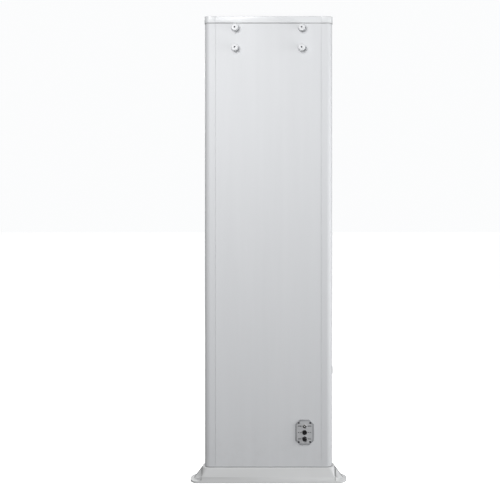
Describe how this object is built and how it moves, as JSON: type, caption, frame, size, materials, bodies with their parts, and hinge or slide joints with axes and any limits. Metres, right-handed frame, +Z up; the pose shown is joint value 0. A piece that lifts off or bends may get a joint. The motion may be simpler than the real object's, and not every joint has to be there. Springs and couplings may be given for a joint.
{
  "type": "security gate side panel",
  "caption": "Tall flat side panel of a walk-through security gate on a flared base shoe, with fluted hand knobs at the top and a service plate near the foot.",
  "frame": {"origin": "on the floor, at the middle of the base shoe's underside", "axes": "+Z up, +X along the panel's width, -Y out of the outer face with the hand knobs and the service plate, +Y out of the inner face towards the walkway"},
  "size_m": [0.742, 0.109, 2.2],
  "materials": {
    "sheet": "light grey rigid PVC sheet, satin",
    "profile": "light grey PVC extrusion, satin",
    "cap": "light grey moulded plastic, satin",
    "shoe": "light grey moulded plastic, satin",
    "rubber": "grey rubber",
    "steel": "zinc plated",
    "dark_screw": "black oxide",
    "plug_plastic": "glass-filled nylon",
    "brass": "turned",
    "knob_plastic": "light grey moulded plastic",
    "nylon": "natural nylon",
    "stud_steel": "zinc plated",
    "black_plastic": "moulded",
    "chrome": "plated",
    "switch_shell": "nickel plated",
    "plate_metal": "grey powder coat",
    "label": "grey film",
    "board": "glass-fibre laminate",
    "chips": "moulded",
    "coil_wire": "lacquered copper bundle",
    "foam": "closed-cell foam",
    "lead_jacket": "lead jacket"
  },
  "bodies": {
    "panel": {"base_shoe": "shoe", "board_parts": "chips", "board_posts": "plug_plastic", "bottom_rail": "plug_plastic", "cap_screws": "steel", "coil_former": "board", "coil_ribbon": "lead_jacket", "edge_bumper": "cap", "foam_battens": "foam", "foot_pad": "rubber", "fuse_holder": "black_plastic", "fuse_link": "brass", "header_backshell": "black_plastic", "header_insert": "black_plastic", "header_lead": "lead_jacket", "header_screws": "steel", "header_socket": "chrome", "inner_face_sheet": "sheet", "left_cap_end": "cap", "left_edge_profile": "profile", "main_coil": "coil_wire", "outer_face_sheet": "sheet", "plate_gasket": "rubber", "plate_screws": "dark_screw", "power_socket": "black_plastic", "preamp_board": "board", "profile_plugs": "plug_plastic", "right_cap_end": "cap", "right_edge_profile": "profile", "service_box": "black_plastic", "service_label": "label", "service_plate": "plate_metal", "shoe_screws": "steel", "socket_contacts": "brass", "socket_insert": "black_plastic", "stud_bearers": "plug_plastic", "stud_sleeves": "brass", "supply_lead": "lead_jacket", "switch_body": "switch_shell", "switch_nut": "chrome", "top_cap": "cap", "top_rail": "plug_plastic", "zone_coils": "coil_wire"},
    "washer_top_left": {"washer_top_left": "nylon"},
    "knob_top_left": {"knob_top_left": "knob_plastic", "stud_top_left": "stud_steel"},
    "washer_top_right": {"washer_top_right": "nylon"},
    "knob_top_right": {"knob_top_right": "knob_plastic", "stud_top_right": "stud_steel"},
    "washer_bottom_left": {"washer_bottom_left": "nylon"},
    "knob_bottom_left": {"knob_bottom_left": "knob_plastic", "stud_bottom_left": "stud_steel"},
    "washer_bottom_right": {"washer_bottom_right": "nylon"},
    "knob_bottom_right": {"knob_bottom_right": "knob_plastic", "stud_bottom_right": "stud_steel"},
    "switch_lever": {"switch_lever": "chrome"},
    "fuse_ring": {"fuse_ring": "rubber"},
    "fuse_cap": {"fuse_cap": "black_plastic"}
  },
  "joints": [
    {"name": "knob_top_left_travel", "type": "slide", "parent": "panel", "child": "washer_top_left", "axis": [0, -1, 0], "range_m": [0, 0.01]},
    {"name": "knob_top_left_turn", "type": "hinge", "parent": "washer_top_left", "child": "knob_top_left", "pos_m": [-0.157, -0.032, 2.144], "axis": [0, -1, 0], "range_deg": [0, 2880]},
    {"name": "knob_top_right_travel", "type": "slide", "parent": "panel", "child": "washer_top_right", "axis": [0, -1, 0], "range_m": [0, 0.01]},
    {"name": "knob_top_right_turn", "type": "hinge", "parent": "washer_top_right", "child": "knob_top_right", "pos_m": [0.157, -0.032, 2.144], "axis": [0, -1, 0], "range_deg": [0, 2880]},
    {"name": "knob_bottom_left_travel", "type": "slide", "parent": "panel", "child": "washer_bottom_left", "axis": [0, -1, 0], "range_m": [0, 0.01]},
    {"name": "knob_bottom_left_turn", "type": "hinge", "parent": "washer_bottom_left", "child": "knob_bottom_left", "pos_m": [-0.157, -0.032, 2.05], "axis": [0, -1, 0], "range_deg": [0, 2880]},
    {"name": "knob_bottom_right_travel", "type": "slide", "parent": "panel", "child": "washer_bottom_right", "axis": [0, -1, 0], "range_m": [0, 0.01]},
    {"name": "knob_bottom_right_turn", "type": "hinge", "parent": "washer_bottom_right", "child": "knob_bottom_right", "pos_m": [0.157, -0.032, 2.05], "axis": [0, -1, 0], "range_deg": [0, 2880]},
    {"name": "switch_throw", "type": "hinge", "parent": "panel", "child": "switch_lever", "pos_m": [0.171, -0.0405, 0.266], "axis": [1, 0, 0], "range_deg": [0, 26]},
    {"name": "fuse_cap_travel", "type": "slide", "parent": "panel", "child": "fuse_ring", "axis": [0, -1, 0], "range_m": [0, 0.003]},
    {"name": "fuse_cap_turn", "type": "hinge", "parent": "fuse_ring", "child": "fuse_cap", "pos_m": [0.171, -0.0355, 0.206], "axis": [0, -1, 0], "range_deg": [0, 720]}
  ],
  "couplings": [
    {"joint": "knob_top_left_turn", "follows": "knob_top_left_travel", "rad_per_m": 5026.5},
    {"joint": "knob_top_right_turn", "follows": "knob_top_right_travel", "rad_per_m": 5026.5},
    {"joint": "knob_bottom_left_turn", "follows": "knob_bottom_left_travel", "rad_per_m": 5026.5},
    {"joint": "knob_bottom_right_turn", "follows": "knob_bottom_right_travel", "rad_per_m": 5026.5},
    {"joint": "fuse_cap_turn", "follows": "fuse_cap_travel", "rad_per_m": 4188.8}
  ]
}
